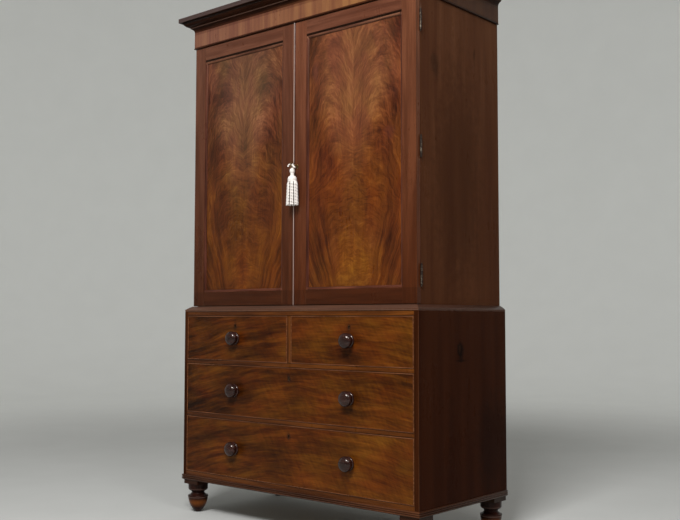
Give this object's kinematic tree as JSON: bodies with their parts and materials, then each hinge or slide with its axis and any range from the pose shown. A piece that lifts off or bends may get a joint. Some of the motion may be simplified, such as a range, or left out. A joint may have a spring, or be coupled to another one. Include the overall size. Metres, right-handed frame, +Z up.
{
  "type": "linen press",
  "caption": "Linen press with framed panel doors over sliding trays, on a chest of drawers with turned knobs and feet, under a moulded cornice.",
  "frame": {"origin": "on the floor, under the middle of the whole press with its knobs", "axes": "+Z up, the front with doors and drawers faces -Y, +X is the right-hand side seen from the front"},
  "size_m": [1.312, 0.621, 2.1465],
  "materials": {
    "mahogany": "french polished",
    "mahogany_side": "aged french polish",
    "mahogany_flame": "french polished, book-matched figure",
    "mahogany_drawer": "french polished, wavy figure",
    "mahogany_crossbanded": "french polished, grain upright",
    "turned_mahogany": "turned and polished",
    "inner_pine": "bare",
    "inner_oak": "waxed",
    "brass": "aged",
    "steel": "plain",
    "tassel_cotton": "twisted cotton"
  },
  "bodies": {
    "carcase": {"chest_sides": "mahogany_side", "chest_bottom": "inner_pine", "chest_top": "inner_pine", "chest_back": "inner_pine", "chest_rails": "mahogany", "drawer_runners": "inner_pine", "dust_boards": "inner_pine", "base_frame": "mahogany", "feet": "turned_mahogany", "waist_moulding": "mahogany", "cupboard_sides": "mahogany_side", "cupboard_top": "inner_pine", "cupboard_bottom": "inner_pine", "cupboard_back": "inner_pine", "hinge_fixed_leaves": "brass", "tray_runners": "inner_pine", "frieze": "mahogany_crossbanded", "frieze_bead": "mahogany", "cornice": "mahogany"},
    "right_door": {"door_right_frame": "mahogany", "door_right_panel": "mahogany_flame", "door_right_moulding": "mahogany", "door_right_hinges": "brass", "astragal": "mahogany", "door_lock": "brass", "door_escutcheon": "brass"},
    "left_door": {"door_left_frame": "mahogany", "door_left_panel": "mahogany_flame", "door_left_moulding": "mahogany", "door_left_hinges": "brass", "bolt_plates": "brass"},
    "lock_bolt_slider": {"lock_bolt": "steel"},
    "turning_key": {"key": "brass"},
    "hanging_tassel": {"tassel": "tassel_cotton"},
    "top_bolt": {"bolt_top": "brass"},
    "bottom_bolt": {"bolt_bottom": "brass"},
    "drawer_bottom": {"drawer_bottom_front": "mahogany_drawer", "drawer_bottom_lock": "brass", "drawer_bottom_bead": "mahogany", "drawer_bottom_box": "inner_oak", "drawer_bottom_knobs": "turned_mahogany"},
    "drawer_middle": {"drawer_middle_front": "mahogany_drawer", "drawer_middle_lock": "brass", "drawer_middle_bead": "mahogany", "drawer_middle_box": "inner_oak", "drawer_middle_knobs": "turned_mahogany"},
    "drawer_short_left": {"drawer_short_left_front": "mahogany_drawer", "drawer_short_left_lock": "brass", "drawer_short_left_bead": "mahogany", "drawer_short_left_box": "inner_oak", "drawer_short_left_knobs": "turned_mahogany"},
    "drawer_short_right": {"drawer_short_right_front": "mahogany_drawer", "drawer_short_right_lock": "brass", "drawer_short_right_bead": "mahogany", "drawer_short_right_box": "inner_oak", "drawer_short_right_knobs": "turned_mahogany"},
    "tray_1_slider": {"tray_1": "inner_oak"},
    "tray_2_slider": {"tray_2": "inner_oak"},
    "tray_3_slider": {"tray_3": "inner_oak"},
    "tray_4_slider": {"tray_4": "inner_oak"}
  },
  "joints": [
    {"name": "right_door_swing", "type": "hinge", "parent": "carcase", "child": "right_door", "pos_m": [0.6042, -0.221, 1.444], "axis": [0, 0, 1], "range_deg": [0, 180]},
    {"name": "left_door_swing", "type": "hinge", "parent": "carcase", "child": "left_door", "pos_m": [-0.6042, -0.221, 1.444], "axis": [0, 0, -1], "range_deg": [0, 180]},
    {"name": "key_turn", "type": "hinge", "parent": "right_door", "child": "turning_key", "pos_m": [0.01675, -0.2725, 1.4305], "axis": [0, -1, 0], "range_deg": [0, 90]},
    {"name": "lock_bolt_throw", "type": "slide", "parent": "right_door", "child": "lock_bolt_slider", "axis": [-1, 0, 0], "range_m": [0, 0.01]},
    {"name": "tassel_swing", "type": "hinge", "parent": "turning_key", "child": "hanging_tassel", "pos_m": [0.01675, -0.2725, 1.4215], "axis": [0, -1, 0], "range_deg": [-90, 0]},
    {"name": "top_bolt_shoot", "type": "slide", "parent": "left_door", "child": "top_bolt", "axis": [0, 0, 1], "range_m": [0, 0.012]},
    {"name": "bottom_bolt_shoot", "type": "slide", "parent": "left_door", "child": "bottom_bolt", "axis": [0, 0, -1], "range_m": [0, 0.012]},
    {"name": "drawer_bottom_slide", "type": "slide", "parent": "carcase", "child": "drawer_bottom", "axis": [0, -1, 0], "range_m": [0, 0.42]},
    {"name": "drawer_middle_slide", "type": "slide", "parent": "carcase", "child": "drawer_middle", "axis": [0, -1, 0], "range_m": [0, 0.42]},
    {"name": "drawer_short_left_slide", "type": "slide", "parent": "carcase", "child": "drawer_short_left", "axis": [0, -1, 0], "range_m": [0, 0.42]},
    {"name": "drawer_short_right_slide", "type": "slide", "parent": "carcase", "child": "drawer_short_right", "axis": [0, -1, 0], "range_m": [0, 0.42]},
    {"name": "tray_1_slide", "type": "slide", "parent": "carcase", "child": "tray_1_slider", "axis": [0, -1, 0], "range_m": [0, 0.28]},
    {"name": "tray_2_slide", "type": "slide", "parent": "carcase", "child": "tray_2_slider", "axis": [0, -1, 0], "range_m": [0, 0.28]},
    {"name": "tray_3_slide", "type": "slide", "parent": "carcase", "child": "tray_3_slider", "axis": [0, -1, 0], "range_m": [0, 0.28]},
    {"name": "tray_4_slide", "type": "slide", "parent": "carcase", "child": "tray_4_slider", "axis": [0, -1, 0], "range_m": [0, 0.28]}
  ],
  "couplings": [
    {"joint": "left_door_swing", "follows": "right_door_swing", "ratio": 1},
    {"joint": "lock_bolt_throw", "follows": "key_turn", "m_per_rad": 0.006366},
    {"joint": "tassel_swing", "follows": "key_turn", "ratio": -1},
    {"joint": "tray_1_slide", "follows": "right_door_swing", "m_per_rad": 0.08913},
    {"joint": "tray_2_slide", "follows": "right_door_swing", "m_per_rad": 0.08913},
    {"joint": "tray_3_slide", "follows": "right_door_swing", "m_per_rad": 0.08913},
    {"joint": "tray_4_slide", "follows": "right_door_swing", "m_per_rad": 0.08913}
  ]
}
